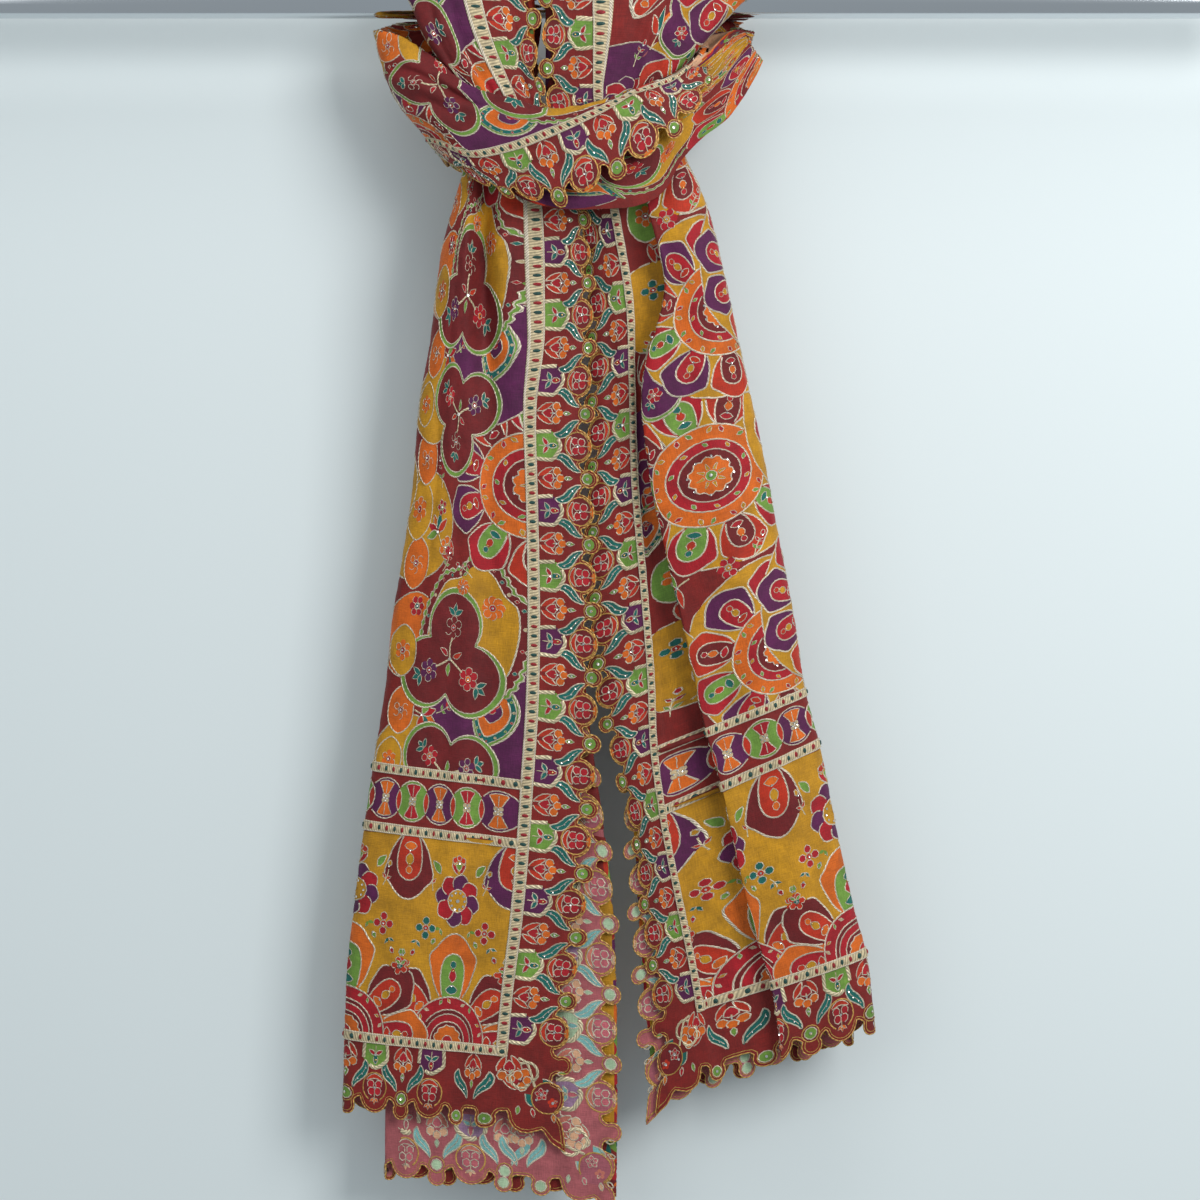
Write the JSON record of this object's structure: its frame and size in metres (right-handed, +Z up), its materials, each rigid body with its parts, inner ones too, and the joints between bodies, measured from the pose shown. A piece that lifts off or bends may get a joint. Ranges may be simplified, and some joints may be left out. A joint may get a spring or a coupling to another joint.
{
  "type": "embroidered dupatta on a hanging rail",
  "caption": "Long embroidered stole folded lengthwise and tied in a cow hitch on a round rail, with both tails hanging, scalloped edges and braided borders.",
  "frame": {"origin": "on the rail's axis, at the middle of its length, above the hitch", "axes": "+X along the rail to the viewer's right, +Y away from the viewer, from the front of the cloth to its back, +Z up"},
  "size_m": [1.1, 0.0891, 1.0081],
  "materials": {
    "cloth": "printed silk with couched thread and sequins",
    "braid": "woven braid with metal thread",
    "rail": "polished"
  },
  "bodies": {
    "root": {"left_tail": "cloth", "left_rise": "cloth", "right_tail": "cloth", "right_rise": "cloth", "loop": "cloth", "left_side_braid": "braid", "left_hem_braid": "braid", "left_wheel_low_braid": "braid", "left_wheel_high_braid": "braid", "left_rise_braid": "braid", "right_side_braid": "braid", "right_hem_braid_inner": "braid", "right_hem_braid_outer": "braid", "right_wheel_low_braid_inner": "braid", "right_wheel_low_braid_outer": "braid", "right_wheel_high_braid_inner": "braid", "right_wheel_high_braid_outer": "braid", "right_rise_braid": "braid", "loop_braid": "braid", "rail": "rail"}
  },
  "joints": []
}
